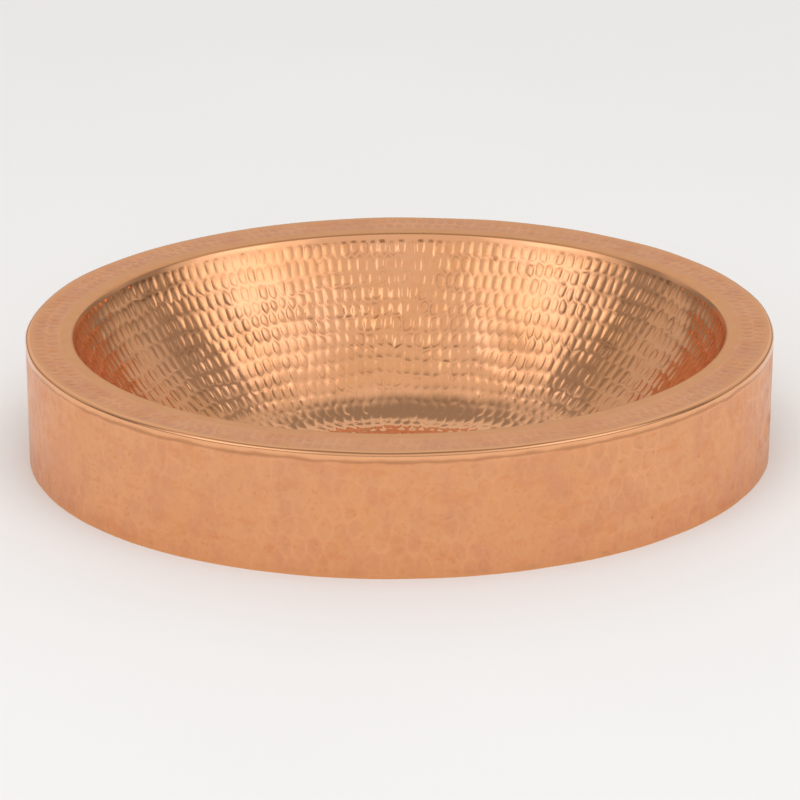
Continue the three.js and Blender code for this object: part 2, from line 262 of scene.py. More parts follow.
def rounded(outline, times):
    """An outline with its corners taken off, a little more each time."""
    for _ in range(times):
        outline = (outline * 2 + np.roll(outline, 1, axis=0) + np.roll(outline, -1, axis=0)) / 4
    return outline


def hammered_sheet(name, section, marks, width, pitch, depth, swell, under, seed, under_every=1,
                   wobble=0.12, jitter=0.09, flatness=4.5, rings=(0.45, 0.79), rounding=(5, 3)):
    """A sheet with rows of hammer marks between two lengths along its section, and smooth beyond them.

    depth(theta, run) is how deep a mark is, and swell(theta, run) is how far the whole sheet stands out.
    The underside is smooth, with `under` corners round it and a ring at every `under_every` of the section.
    """
    rng = np.random.default_rng(seed)
    start, end = marks
    runs = np.linspace(start, end, 400)
    girths = np.array([girth(section, run)[1][-1] for run in runs])
    rise = width / pitch * TURN / girths
    heights = np.concatenate(([0], np.cumsum((rise[1:] + rise[:-1]) / 2 * np.diff(runs))))
    sizes = []
    while sum(sizes) < heights[-1]:
        sizes.append(width * TURN / np.interp(sum(sizes), heights, girths))
    if sum(sizes) - heights[-1] > sizes[-1] / 2:
        sizes.pop()
    stretch = heights[-1] / sum(sizes)
    rows, top = hammer_rows(rng, [size * stretch for size in sizes], wobble, jitter)
    heights *= ROW_OVERLAP
    thetas, lengths = girth(section, (start + end) / 2)
    evened = lengths / lengths[-1] * TURN

    mesh = bmesh.new()
    ridge = mesh.verts.layers.float.new("ridge")
    along = mesh.verts.layers.float.new("along")

    def theta_of(angle):
        return np.interp(angle % TURN, evened, thetas) + np.floor(angle / TURN) * TURN

    def add_corners(theta, run, sunk, shares):
        out = swell(theta, run) - sunk
        points = on_sheet(section, theta, run) + out[:, None] * facing(section, theta, run)
        corners = []
        for point, share, length in zip(points, shares, run):
            corner = mesh.verts.new(point)
            corner[ridge] = share
            corner[along] = length
            corners.append(corner)
        return corners

    for middle, corners in blow_outlines(rows, top):
        local = width * TURN / np.interp(middle[1], heights, girths)
        border = []
        for here, there in zip(corners, np.roll(corners, -1, axis=0)):
            length = np.linalg.norm(there - here)
            if length > 0.02 * local:
                parts = max(1, math.ceil(length / (0.33 * local)))
                border += [here + (there - here) * part / parts for part in range(parts)]
        border = np.array(border)
        flat = [middle[None, :]]
        for share, times in zip(rings, rounding):
            flat.append(middle + (rounded(border, times) - middle) * share)
        flat.append(border)
        flat = np.concatenate(flat)
        shares = np.repeat((0, *rings, 1), (1, *[len(border)] * (len(rings) + 1)))
        theta = theta_of(flat[:, 0])
        run = np.interp(flat[:, 1], heights, runs)
        own_depth = depth(theta, run) * rng.uniform(0.6, 1.35)
        placed = add_corners(theta, run, own_depth * (1 - shares ** flatness), shares)
        count = len(border)
        for i in range(count):
            following = (i + 1) % count
            mesh.faces.new((placed[0], placed[1 + i], placed[1 + following]))
            for step in range(len(rings)):
                inner = 1 + step * count
                outer = inner + count
                mesh.faces.new((placed[inner + i], placed[outer + i],
                                placed[outer + following], placed[inner + following]))
    bmesh.ops.remove_doubles(mesh, verts=mesh.verts, dist=0.08 * MM)

    def edge_ring(wanted):
        found = []
        for corner in mesh.verts:
            if corner.is_boundary and abs(corner[along] - wanted) < 0.5 * MM:
                guess = math.atan2(corner.co.y / half_width, corner.co.x / half_length)
                found.append((guess % TURN, corner))
        return sorted(found, key=lambda pair: pair[0])

    def smooth_rings(ring, ring_runs):
        """Rings that carry a border's own angles on along the section."""
        radius = np.interp(ring_runs[0], section[:, 0], section[:, 1])
        made = [ring]
        across = radius - shorter_by(radius)
        theta = np.array([
            math.atan2(corner.co.y / across, corner.co.x / radius) % TURN for _, corner in ring])
        for length in ring_runs[1:]:
            run = np.full(len(theta), length)
            placed = add_corners(theta, run, np.zeros(len(theta)), np.ones(len(theta)))
            made.append([(angle, corner) for (angle, _), corner in zip(ring, placed)])
        return made

    before = [start] + [run for run in section[::-1, 0] if run < start - 0.3 * MM]
    after = [end] + [run for run in section[:, 0] if run > end + 0.3 * MM]
    lower = smooth_rings(edge_ring(start), before)
    upper = smooth_rings(edge_ring(end), after)
    for inner, outer in zip(lower, lower[1:]):
        stitch(mesh, outer, inner)
    for inner, outer in zip(upper, upper[1:]):
        stitch(mesh, inner, outer)

    theta = np.arange(under) * TURN / under
    under_runs = np.append(section[:0:-under_every, 0], section[0, 0])
    last_ring = upper[-1]
    for length in under_runs:
        run = np.full(under, length)
        placed = add_corners(theta, run, np.full(under, SHEET), np.ones(under))
        ring = [(angle % TURN, corner) for angle, corner in zip(theta, placed)]
        stitch(mesh, last_ring, ring)
        last_ring = ring
    stitch(mesh, last_ring, lower[-1])
    return finish_mesh(name, mesh)


def ripples(seed, count, shortest, longest, height, around):
    """A gentle unevenness, as waves that run both round the basin and along its section."""
    rng = np.random.default_rng(seed)
    waves = []
    for _ in range(count):
        length = rng.uniform(shortest, longest)
        heading = rng.uniform(0, TURN)
        turns = round(around / length * math.cos(heading))
        waves.append((turns, TURN / length * math.sin(heading), rng.uniform(0, TURN)))

    def stand_out(theta, run):
        total = sum(np.sin(turns * theta + rate * run + phase) for turns, rate, phase in waves)
        return height * total / math.sqrt(count)

    return stand_out


MARK_WIDTH = 6 * MM
MARK_PITCH = 9.8 * MM
MARK_DEPTH = 0.33 * MM
SWELL_FADE = 12 * MM
SMOOTH_LIP = 2.2 * MM
SMOOTH_BRINK = 1 * MM
bowl_ripple = ripples(seed=11, count=14, shortest=26 * MM, longest=60 * MM, height=0.16 * MM, around=1.05)


def bowl_swell(theta, run):
    """The sheet's own unevenness, which fades out towards the lip and the drain."""
    return bowl_ripple(theta, run) * np.clip((run - lip_run) / SWELL_FADE, 0, 1) * np.clip(
        (brink_run - run) / SWELL_FADE, 0, 1)


def bowl_depth(theta, run):
    """Some patches were struck harder than others."""
    harder = np.sin(2 * theta + 1.1) * np.sin(run * TURN / 0.09) + np.sin(5 * theta + run * TURN / 0.07)
    at_foot = np.clip((run - brink_run + 60 * MM) / (25 * MM), 0, 1)
    at_back = np.exp(-((theta - 1.62) / 0.22) ** 2) * np.clip((60 * MM - run) / (15 * MM), 0, 1)
    return MARK_DEPTH * (1 + 0.22 * harder) * (1 + 0.35 * at_foot + 0.9 * at_back)


bowl = hammered_sheet(
    "hammered_bowl", bowl_section, (lip_run + SMOOTH_LIP, brink_run - SMOOTH_BRINK), MARK_WIDTH, MARK_PITCH,
    bowl_depth, bowl_swell, under=200, seed=5, under_every=2, wobble=0.16, jitter=0.11,
)


def wire(tree, kind, inputs=None, **settings):
    """Adds a node to a material's tree, and gives its inputs their values or links."""
    made = tree.nodes.new(kind)
    for key, value in settings.items():
        setattr(made, key, value)
    for key, value in (inputs or {}).items():
        if isinstance(value, bpy.types.NodeSocket):
            tree.links.new(value, made.inputs[key])
        else:
            made.inputs[key].default_value = value
    return made


def blank_material(name):
    """A material with only its shader and its output, and the place on the piece that patterns follow."""
    material = bpy.data.materials.new(name)
    material.use_nodes = True
    tree = material.node_tree
    tree.nodes.clear()
    shader = wire(tree, "ShaderNodeBsdfPrincipled")
    wire(tree, "ShaderNodeOutputMaterial", {"Surface": shader.outputs["BSDF"]})
    place = wire(tree, "ShaderNodeTexCoord").outputs["Object"]
    return material, tree, shader, place


def noise(tree, place, scale, detail=3, roughness=0.55):
    return wire(tree, "ShaderNodeTexNoise", {
        "Vector": place, "Scale": scale, "Detail": detail, "Roughness": roughness,
    }).outputs["Fac"]


def spread(tree, value, low, high, to_low=0.0, to_high=1.0):
    """Stretches a pattern's values from low..high to to_low..to_high, and holds them there."""
    return wire(tree, "ShaderNodeMapRange", {
        "Value": value, "From Min": low, "From Max": high, "To Min": to_low, "To Max": to_high,
    }).outputs["Result"]


def blend_colours(tree, share, first, second):
    return wire(tree, "ShaderNodeMix", {0: share, 6: first, 7: second}, data_type="RGBA").outputs[2]


def arithmetic(tree, operation, first, second):
    return wire(tree, "ShaderNodeMath", {0: first, 1: second}, operation=operation).outputs[0]


def times(tree, first, second):
    return arithmetic(tree, "MULTIPLY", first, second)


def dress(tree, shader, colour, gloss, metallic=1.0):
    """Gives a shader its colour, its roughness and how metallic it is."""
    tree.links.new(colour, shader.inputs["Base Color"])
    tree.links.new(gloss, shader.inputs["Roughness"])
    shader.inputs["Metallic"].default_value = metallic


def roughen(tree, shader, strength, distance, height):
    """Adds an unevenness that is finer than the mesh."""
    bump = wire(tree, "ShaderNodeBump", {"Strength": strength, "Distance": distance, "Height": height})
    tree.links.new(bump.outputs["Normal"], shader.inputs["Normal"])


COPPER = (0.92, 0.44, 0.205, 1)
PALE_COPPER = (0.94, 0.47, 0.25, 1)
RED_COPPER = (0.88, 0.34, 0.14, 1)
# Brown for brazed joints and pits, and for painted shade at the feet of the bowl's ridges.
BROWN_MARK_AND_SHADE = (0.42, 0.17, 0.075, 1)
OCHRE_SATIN = (0.82, 0.395, 0.175, 1)
# Painted light: the paler copper put on the floor round the drain.
FLOOR_PAINTED_LIGHT = (0.94, 0.49, 0.265, 1)


def polished_copper():
    """Buffed copper, with painted light on the floor round the drain, painted shade in brown at the feet of
    its ridges and a painted highlight along their crests.
    """
    material, tree, shader, place = blank_material("polished_hammered_copper")
    clouds = spread(tree, noise(tree, place, 22), 0.35, 0.68)
    flecks = spread(tree, noise(tree, place, 260, 4), 0.52, 0.72)
    ridges = wire(tree, "ShaderNodeAttribute", attribute_name="ridge").outputs["Fac"]
    # Painted shade: brown, in patches, in the creases round the feet of the ridges.
    foot = times(tree, spread(tree, ridges, 0.60, 0.80), spread(tree, ridges, 0.97, 0.84))
    ridge_shade_patches = spread(tree, noise(tree, place, 75, 6, 0.7), 0.50, 0.64, 0, 0.5)
    ridge_foot_shade = times(tree, foot, ridge_shade_patches)
    level = wire(tree, "ShaderNodeSeparateXYZ", {"Vector": place}).outputs["Z"]
    on_lip = spread(tree, level, rim_level - 0.9 * MM, rim_level - 0.3 * MM)
    colour = blend_colours(tree, clouds, COPPER, PALE_COPPER)
    colour = blend_colours(tree, times(tree, flecks, 0.35), colour, RED_COPPER)
    # Painted highlight on a real buff: the ridge crests are blended towards the pale copper.
    colour = blend_colours(tree, spread(tree, ridges, 0.86, 1.0, 0, 0.5), colour, PALE_COPPER)
    colour = blend_colours(tree, ridge_foot_shade, colour, BROWN_MARK_AND_SHADE)
    colour = blend_colours(tree, on_lip, colour, OCHRE_SATIN)
    # Painted light: the floor round the drain is blended to a paler copper, to lift the red of the bowl's
    # shaded wall that it reflects.
    floor_light_share = spread(tree, level, seat_level + 26 * MM, seat_level + 7 * MM)
    colour = blend_colours(tree, floor_light_share, colour, FLOOR_PAINTED_LIGHT)
    polish = spread(tree, noise(tree, place, 90, 4), 0.3, 0.7, 0.11, 0.18)
    satin = spread(tree, noise(tree, place, 140, 4), 0.3, 0.7, 0.32, 0.42)
    gloss = wire(tree, "ShaderNodeMix", {0: on_lip, 2: polish, 3: satin}).outputs[0]
    dress(tree, shader, colour, gloss)
    grain = arithmetic(tree, "ADD", noise(tree, place, 700, 3), noise(tree, place, 2600, 2))
    roughen(tree, shader, 0.35, 0.02 * MM, grain)
    return material


bowl.data.materials.append(polished_copper())
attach(bowl, "basin")
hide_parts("bowl")


# --------------------
# The rim. A flat oval ring of the same sheet, brazed to the bowl's lip, planished lightly and rubbed to a
# satin. Its outer edge is turned down over a round bar, a little unevenly, to meet the skirt.

EDGE_RADIUS = 2.4 * MM
EDGE_BEAD = 0.2 * MM
BEAD_STEPS = 5
EDGE_STEPS = 10
DECK_STEPS = 6
edge_foot = (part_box("rim_deck")[0].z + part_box("skirt")[1].z) / 2
edge_bend = rim_level - EDGE_RADIUS


def rim_path():
    """The rim's section, up from the joint with the skirt, over the edge and in to the bowl's lip."""
    path = []
    run = edge_bend - edge_foot - HAIRLINE
    for step in range(BEAD_STEPS + 1):
        inset = EDGE_BEAD * (1 + math.cos(math.pi * step / BEAD_STEPS)) / 2
        level = edge_bend - run * (1 - step / BEAD_STEPS)
        path.append((run * step / BEAD_STEPS, half_length - inset, level, math.pi / 2))
    for step in range(1, EDGE_STEPS + 1):
        angle = math.pi / 2 * step / EDGE_STEPS
        path.append((
            run + EDGE_RADIUS * angle,
            half_length - EDGE_RADIUS * (1 - math.cos(angle)),
            edge_bend + EDGE_RADIUS * math.sin(angle),
            math.pi / 2 - angle,
        ))
    run, radius, level, _ = path[-1]
    for step in range(1, DECK_STEPS + 1):
        inwards = (radius - lip_edge - HAIRLINE) * step / DECK_STEPS
        path.append((run + inwards, radius - inwards, level, 0.0))
    return np.array(path)


rim_section = rim_path()
rim_flat_run = rim_section[BEAD_STEPS + EDGE_STEPS][0]
rim_end = rim_section[-1][0]
edge_ripple = ripples(seed=31, count=9, shortest=28 * MM, longest=90 * MM, height=0.17 * MM, around=1.22)


def edge_swell(theta, level):
    """How far the outer edge stands out. The rim and the skirt share it, so that they meet."""
    return edge_ripple(theta, level)


def rim_swell(theta, run):
    fade = np.clip(1 - (run - rim_flat_run) / (10 * MM), 0, 1)
    return edge_swell(theta, np.minimum(run, 8 * MM)) * fade


def rim_depth(theta, run):
    """The middle of the rim is marked most, and the ends of the oval more than its sides."""
    middle = (rim_flat_run + rim_end) / 2
    fade = np.clip(1.5 - np.abs(run - middle) / (5.5 * MM), 0, 1)
    return (0.24 + 0.22 * np.cos(theta) ** 2) * fade * MM


rim = hammered_sheet(
    "rim", rim_section, (rim_flat_run + 1 * MM, rim_end - 0.6 * MM), width=5.4 * MM, pitch=7.6 * MM,
    depth=rim_depth, swell=rim_swell, under=240, seed=7,
)


SATIN_COPPER = (0.82, 0.385, 0.18, 1)
PALE_SATIN_COPPER = (0.83, 0.405, 0.205, 1)
RED_SATIN_COPPER = (0.76, 0.30, 0.12, 1)
PINK_SATIN_COPPER = (0.74, 0.33, 0.185, 1)
BURNISHED_COPPER = (0.92, 0.46, 0.24, 1)


def satin_copper(name, seed_place, dull, pitted, crest_share, ochre_along, brown_along, polished_below=-1.0):
    """Copper rubbed to a satin, clouded by the flame that annealed it, with pits and small red patches.

    It is burnished along the ridges, yellower along its rubbed edges, and brown where it was brazed.
    """
    material, tree, shader, place = blank_material(name)
    place = wire(tree, "ShaderNodeMapping", {"Vector": place, "Location": seed_place}).outputs["Vector"]
    upright = wire(tree, "ShaderNodeMapping", {"Vector": place, "Scale": (1, 1, 0.6)}).outputs["Vector"]
    level = wire(tree, "ShaderNodeMapping", {"Vector": place, "Scale": (1, 1, 2.2)}).outputs["Vector"]
    along = wire(tree, "ShaderNodeAttribute", attribute_name="along").outputs["Fac"]
    ridges = wire(tree, "ShaderNodeAttribute", attribute_name="ridge").outputs["Fac"]
    clouds = spread(tree, noise(tree, place, 16), 0.32, 0.68)
    blotches = spread(tree, noise(tree, level, 46, 6, 0.66), 0.51, 0.66)
    streaks = spread(tree, noise(tree, upright, 60, 6, 0.68), 0.47, 0.62)
    flecks = spread(tree, noise(tree, place, 380, 3), 0.56, 0.72)
    colour = blend_colours(tree, clouds, SATIN_COPPER, PALE_SATIN_COPPER)
    for patches, share, tint in ((blotches, 0.55, RED_SATIN_COPPER), (streaks, 0.6, PINK_SATIN_COPPER),
                                 (flecks, 0.7, RED_SATIN_COPPER)):
        colour = blend_colours(tree, times(tree, patches, share), colour, tint)
    struck = spread(tree, noise(tree, place, 28), 0.40, 0.62, 0.0, crest_share)
    crests = times(tree, spread(tree, ridges, 0.80, 1.0), struck)
    colour = blend_colours(tree, crests, colour, BURNISHED_COPPER)
    for rubbed, full in ochre_along:
        colour = blend_colours(tree, spread(tree, along, rubbed, full), colour, OCHRE_SATIN)
    wander = spread(tree, noise(tree, place, 60, 2), 0.3, 0.7, -0.8 * MM, 0.8 * MM)
    clear, brown = brown_along
    joint = spread(tree, arithmetic(tree, "ADD", along, wander), clear, brown, 0, 0.6)
    gloss = spread(tree, noise(tree, place, 120, 4), 0.3, 0.7, dull - 0.05, dull + 0.05)
    gloss = arithmetic(tree, "SUBTRACT", gloss, times(tree, crests, 0.08))
    on_edge = spread(tree, along, polished_below, polished_below - 0.5 * MM)
    gloss = wire(tree, "ShaderNodeMix", {0: on_edge, 2: gloss, 3: 0.14}).outputs[0]
    colour = blend_colours(tree, times(tree, on_edge, 0.8), colour, BURNISHED_COPPER)
    colour = blend_colours(tree, joint, colour, BROWN_MARK_AND_SHADE)
    cells = wire(tree, "ShaderNodeTexVoronoi", {"Vector": place, "Scale": 95}).outputs["Distance"]
    sparse = spread(tree, clouds, 0.2, 0.9, 0.09, -0.02)
    pits = spread(tree, arithmetic(tree, "ADD", cells, sparse), 0.02, 0.07)
    colour = blend_colours(tree, spread(tree, pits, 1.0, 0.0, 0, 0.6), colour, BROWN_MARK_AND_SHADE)
    dress(tree, shader, colour, gloss)
    grain = arithmetic(tree, "ADD", noise(tree, place, 500, 4), times(tree, pits, pitted))
    roughen(tree, shader, 0.4, 0.05 * MM, grain)
    return material


rim.data.materials.append(satin_copper(
    "satin_rim_copper", (0, 0, 0), 0.33, 0.6, 0.6, polished_below=rim_flat_run + 0.3 * MM,
    ochre_along=[(rim_flat_run + 4 * MM, rim_flat_run + 1 * MM),
                 (rim_end - 2.5 * MM, rim_end)],
    brown_along=(2.2 * MM, 0.6 * MM),
))
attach(rim, "basin")
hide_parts("rim_deck")


# --------------------
# The skirt. An upright band of the same sheet, planished all over with a broad hammer, bent to the oval,
# brazed end to end and brazed under the rim's edge. It is rubbed to the same satin.

skirt_rows = np.linspace(0, edge_foot - HAIRLINE, 16)
skirt_section = np.array([(level, half_length - EDGE_BEAD, level, math.pi / 2) for level in skirt_rows])
skirt_top = skirt_section[-1][0]
skirt_ripple = ripples(seed=47, count=14, shortest=30 * MM, longest=80 * MM, height=0.16 * MM, around=1.22)


def skirt_swell(theta, run):
    """The band's own unevenness, which gives way to the edge's at the top."""
    share = np.clip((edge_foot - run) / SWELL_FADE, 0, 1)
    return skirt_ripple(theta, run) * share + edge_swell(theta, 0 * run) * (1 - share)


def skirt_depth(theta, run):
    """The marks are deepest at the front's right, where the band lay best on the anvil."""
    towards = np.cos(theta + math.radians(52))
    right_front = towards ** 2 * (towards > 0)
    return (0.24 + 0.32 * right_front) * MM


skirt = hammered_sheet(
    "skirt_band", skirt_section, (1.2 * MM, skirt_top - 1.2 * MM), width=8.6 * MM, pitch=11 * MM,
    depth=skirt_depth, swell=skirt_swell, under=240, seed=9, wobble=0.3, jitter=0.24,
)
skirt.data.materials.append(satin_copper(
    "satin_skirt_copper", (0.37, 0.12, 0.05), 0.32, 1.0, 0.38, ochre_along=[(2.5 * MM, 0.5 * MM)],
    brown_along=(skirt_top - 1.2 * MM, skirt_top + 0.4 * MM),
))
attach(skirt, "basin")
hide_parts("skirt")


# --------------------
# The foot ring. A flat ring cut from the same sheet and brazed inside the skirt's lower edge. The basin
# stands on it, and sealant between it and the counter keeps water out.

def oblong(inner, outer, low, high):
    """The outline of a flat ring's section."""
    return [(inner, low), (outer, low), (outer, high), (inner, high)]


def eased(outline, amount, steps=3, closed=True):
    """An outline of (radius, level) points with each corner rounded off, by up to half of its edges."""
    corners = [np.array(corner, float) for corner in outline]
    made = []
    for i, corner in enumerate(corners):
        if not closed and i in (0, len(corners) - 1):
            made.append(corner)
            continue
        back = corners[i - 1] - corner
        on = corners[(i + 1) % len(corners)] - corner
        cut = min(amount, 0.45 * np.linalg.norm(back), 0.45 * np.linalg.norm(on))
        start = corner + back / np.linalg.norm(back) * cut
        end = corner + on / np.linalg.norm(on) * cut
        for step in range(steps + 1):
            share = step / steps
            made.append((1 - share) ** 2 * start + 2 * share * (1 - share) * corner + share ** 2 * end)
    return made


def revolve(mesh, outline, steps, closed=True, oval=False, reshape=None):
    """Turns an outline round the upright axis, or round the oval, into a closed skin."""
    rings = []
    for radius, level in outline:
        across = radius - float(shorter_by(radius)) if oval else radius
        if radius < 1e-7:
            pole = mesh.verts.new((0, 0, level))
            rings.append([pole] * steps)
            continue
        ring = []
        for step in range(steps):
            angle = step * TURN / steps
            out = reshape(angle, radius, level) / radius if reshape else 1.0
            ring.append(mesh.verts.new((
                radius * out * math.cos(angle), across * out * math.sin(angle), level)))
        rings.append(ring)
    pairs = list(zip(rings, rings[1:]))
    if closed:
        pairs.append((rings[-1], rings[0]))
    for lower, upper in pairs:
        for i in range(steps):
            following = (i + 1) % steps
            corners = (lower[i], lower[following], upper[following], upper[i])
            mesh.faces.new(list(dict.fromkeys(corners)))


def turned_piece(name, material, outline, steps=96, closed=True, oval=False, reshape=None):
    """One piece turned from an outline."""
    mesh = bmesh.new()
    revolve(mesh, outline, steps, closed, oval, reshape)
    piece = finish_mesh(name, mesh, sharp=50)
    piece.data.materials.append(material)
    return piece


FOOT_WIDTH = 12 * MM
NO_BRAZE = (1.0, 2.0)

foot_low, foot_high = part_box("skirt_foot")
foot_copper = satin_copper(
    "satin_foot_copper", (0.1, 0.6, 0.3), 0.42, 1.0, 0.0, ochre_along=[], brown_along=NO_BRAZE)
foot_ring = turned_piece("foot_ring", foot_copper, eased(oblong(
    foot_high.x - FOOT_WIDTH, foot_high.x, foot_low.z, foot_high.z), 0.3 * MM), steps=256, oval=True)
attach(foot_ring, "basin")
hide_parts("skirt_foot")


# --------------------
# The drain body. A brass casting, turned and then plated with copper to match the bowl: a wide flange, a
# threaded tube, and a hub on three arms inside it that the cartridge screws into.

TUBE_RADIUS = 19 * MM
BORE_RADIUS = 16 * MM
FLANGE_THICKNESS = 2.4 * MM
THREAD_PITCH = 1.6 * MM
THREAD_DEPTH = 0.55 * MM
HUB_INNER = 7.8 * MM
HUB_OUTER = 11 * MM
HUB_HEIGHT = 6 * MM
HUB_DROP = 3 * MM
ARM_WIDTH = 3.5 * MM
ARMS = 3
ARM_FLARE = 1.35
THREAD_RUNOUT = 2.5 * MM
FOOT_EASE = 0.5 * MM

body_low, body_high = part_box("drain_body")
flange_radius = body_high.x
flange_level = body_high.z - FLANGE_THICKNESS
hub_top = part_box("cartridge_housing")[1].z - HUB_DROP
thread_top = flange_level - THREAD_RUNOUT


def lathe_marks(tree, place, scale):
    """The fine rings that a lathe's tool leaves, as a pattern that only changes outwards and upwards."""
    parts = wire(tree, "ShaderNodeSeparateXYZ", {"Vector": place})
    squares = arithmetic(tree, "ADD", times(tree, parts.outputs["X"], parts.outputs["X"]),
                         times(tree, parts.outputs["Y"], parts.outputs["Y"]))
    outwards = arithmetic(tree, "SQRT", squares, 0.0)
    rings = wire(tree, "ShaderNodeCombineXYZ", {"X": outwards, "Z": parts.outputs["Z"]}).outputs["Vector"]
    return noise(tree, rings, scale, 2)


def turned_metal(name, first, second, gloss_low, gloss_high):
    """Turned and lightly buffed metal, with lathe marks and a little cloudiness in its colour."""
    material, tree, shader, place = blank_material(name)
    clouds = spread(tree, noise(tree, place, 120, 4), 0.35, 0.65)
    marks = lathe_marks(tree, place, 2600)
    colour = blend_colours(tree, clouds, first, second)
    dress(tree, shader, colour, spread(tree, marks, 0.3, 0.7, gloss_low, gloss_high))
    roughen(tree, shader, 0.25, 0.03 * MM, marks)
    return material


def cut_thread(angle, radius, level):
    """Takes a V-shaped thread out of the tube's outside, and leaves every other radius alone."""
    if abs(radius - TUBE_RADIUS) > 1e-6 or not body_low.z + FOOT_EASE < level < thread_top:
        return radius
    turn = (level / THREAD_PITCH - angle / TURN) % 1
    fade = min(1, (thread_top - level) / (2 * THREAD_PITCH), (level - body_low.z) / THREAD_PITCH)
    return radius - THREAD_DEPTH * abs(2 * turn - 1) * fade


def skin(mesh, rings):
    """Skins a solid that runs on through rings of corners, and closes both of its ends."""
    for near, far in zip(rings, rings[1:]):
        for i in range(len(near)):
            following = (i + 1) % len(near)
            mesh.faces.new((near[i], near[following], far[following], far[i]))
    mesh.faces.new(rings[0])
    mesh.faces.new(rings[-1])


def make_drain_body():
    """The flange, tube and foot as one turned skin, with the hub and its arms let into it."""
    rows = round((thread_top - body_low.z) / (THREAD_PITCH / 5))
    threaded = [(TUBE_RADIUS, body_low.z + FOOT_EASE + (thread_top - body_low.z) * row / rows)
                for row in range(rows)]
    flange = eased([
        (TUBE_RADIUS, flange_level - 1 * MM),
        (TUBE_RADIUS, flange_level),
        (flange_radius - 0.8 * MM, flange_level),
        (flange_radius, flange_level + 0.8 * MM),
        (flange_radius - 0.8 * MM, body_high.z - 0.2 * MM),
        (flange_radius - 2.4 * MM, body_high.z),
        (BORE_RADIUS + 3 * MM, body_high.z - 0.8 * MM),
        (BORE_RADIUS, body_high.z - 3.8 * MM),
        (BORE_RADIUS, body_low.z + 0.6 * MM),
    ], 0.5 * MM, closed=False)
    foot = [(BORE_RADIUS + 0.5 * MM, body_low.z), (TUBE_RADIUS - 0.8 * MM, body_low.z)]
    mesh = bmesh.new()
    revolve(mesh, threaded + flange + foot, 96, reshape=cut_thread)
    revolve(mesh, eased(oblong(HUB_INNER, HUB_OUTER, hub_top - HUB_HEIGHT, hub_top), 0.5 * MM), 64)
    for arm in range(ARMS):
        section = oblong(-ARM_WIDTH / 2, ARM_WIDTH / 2, hub_top - HUB_HEIGHT, hub_top)
        outline = eased(section, 0.9 * MM, steps=4)
        heading = (2 * arm + 1) * math.pi / ARMS
        along = Vector((math.cos(heading), math.sin(heading), 0))
        aside = Vector((-math.sin(heading), math.cos(heading), 0))
        ends = []
        for reach in (HUB_OUTER - 0.6 * MM, HUB_OUTER + 0.8 * MM,
                      BORE_RADIUS - 0.8 * MM, BORE_RADIUS + 0.6 * MM):
            flare = 1.0 if HUB_OUTER < reach < BORE_RADIUS else ARM_FLARE
            ends.append([mesh.verts.new(along * reach + aside * across * flare + Vector((0, 0, level)))
                         for across, level in outline])
        skin(mesh, ends)
    return finish_mesh("drain_body_casting", mesh, sharp=50)


plated_copper = turned_metal(
    "copper_plate", (0.80, 0.37, 0.18, 1), (0.84, 0.42, 0.22, 1), gloss_low=0.16, gloss_high=0.28)
drain_body = make_drain_body()
drain_body.data.materials.append(plated_copper)
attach(drain_body, "basin")
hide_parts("drain_body")


# --------------------
# What clamps the drain. A flat rubber gasket seals the flange to the recess. Under the bowl come a tapered
# rubber gasket, a nylon washer that lets the nut turn without dragging the rubber, and the back nut.

CLAMP_BORE = TUBE_RADIUS + 0.15 * MM
NUT_CHAMFER = 1.2 * MM
SQUEEZE = 0.2 * MM
CONE_TIP = 5 * MM


def black_rubber():
    """Moulded rubber: matt, with a dusty bloom and the mould's faint roughness."""
    material, tree, shader, place = blank_material("moulded_black_rubber")
    bloom = spread(tree, noise(tree, place, 160, 5), 0.45, 0.75)
    colour = blend_colours(tree, bloom, (0.012, 0.012, 0.013, 1), (0.045, 0.044, 0.042, 1))
    dress(tree, shader, colour, spread(tree, bloom, 0, 1, 0.55, 0.8), metallic=0.0)
    roughen(tree, shader, 0.3, 0.04 * MM, noise(tree, place, 1500, 3))
    return material


def white_nylon():
    """Moulded nylon: off-white, a little yellowed in places."""
    material, tree, shader, place = blank_material("moulded_nylon")
    aged = spread(tree, noise(tree, place, 90, 4), 0.35, 0.7)
    colour = blend_colours(tree, aged, (0.80, 0.79, 0.75, 1), (0.72, 0.69, 0.61, 1))
    dress(tree, shader, colour, spread(tree, aged, 0, 1, 0.35, 0.5), metallic=0.0)
    shader.inputs["Subsurface Weight"].default_value = 0.1
    return material


rubber = black_rubber()

gasket_low, gasket_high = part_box("flange_gasket")
flange_gasket = turned_piece("flat_gasket", rubber, eased(oblong(
    CLAMP_BORE, gasket_high.x, gasket_low.z - SQUEEZE, gasket_high.z + SQUEEZE), 0.4 * MM, steps=4))
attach(flange_gasket, "basin")
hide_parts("flange_gasket")

cone_low, cone_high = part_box("cone_gasket")
cone_gasket = turned_piece("tapered_gasket", rubber, eased([
    (CLAMP_BORE, cone_low.z), (cone_high.x, cone_low.z), (cone_high.x, cone_low.z + 1.5 * MM),
    (cone_high.x - 4 * MM, cone_high.z - 0.6 * MM), (cone_high.x - CONE_TIP, cone_high.z),
    (CLAMP_BORE, cone_high.z),
], 0.7 * MM, steps=4))
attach(cone_gasket, "basin")
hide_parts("cone_gasket")

washer_low, washer_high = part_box("slip_washer")
slip_washer = turned_piece("nylon_washer", white_nylon(), eased(oblong(
    CLAMP_BORE, washer_high.x, washer_low.z, washer_high.z), 0.25 * MM))
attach(slip_washer, "basin")
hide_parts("slip_washer")

nut_low, nut_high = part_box("back_nut")
nut_flat = nut_high.y


def six_flats(angle, radius, level):
    """The nut's outside: six flats, with their corners chamfered towards both faces."""
    if radius < nut_flat - 1e-6:
        return radius
    flat = nut_flat / math.cos((angle + math.pi / 6) % (math.pi / 3) - math.pi / 6)
    to_face = min(level - nut_low.z, nut_high.z - level)
    return min(flat, nut_flat * 1.02 + to_face * 2.2)


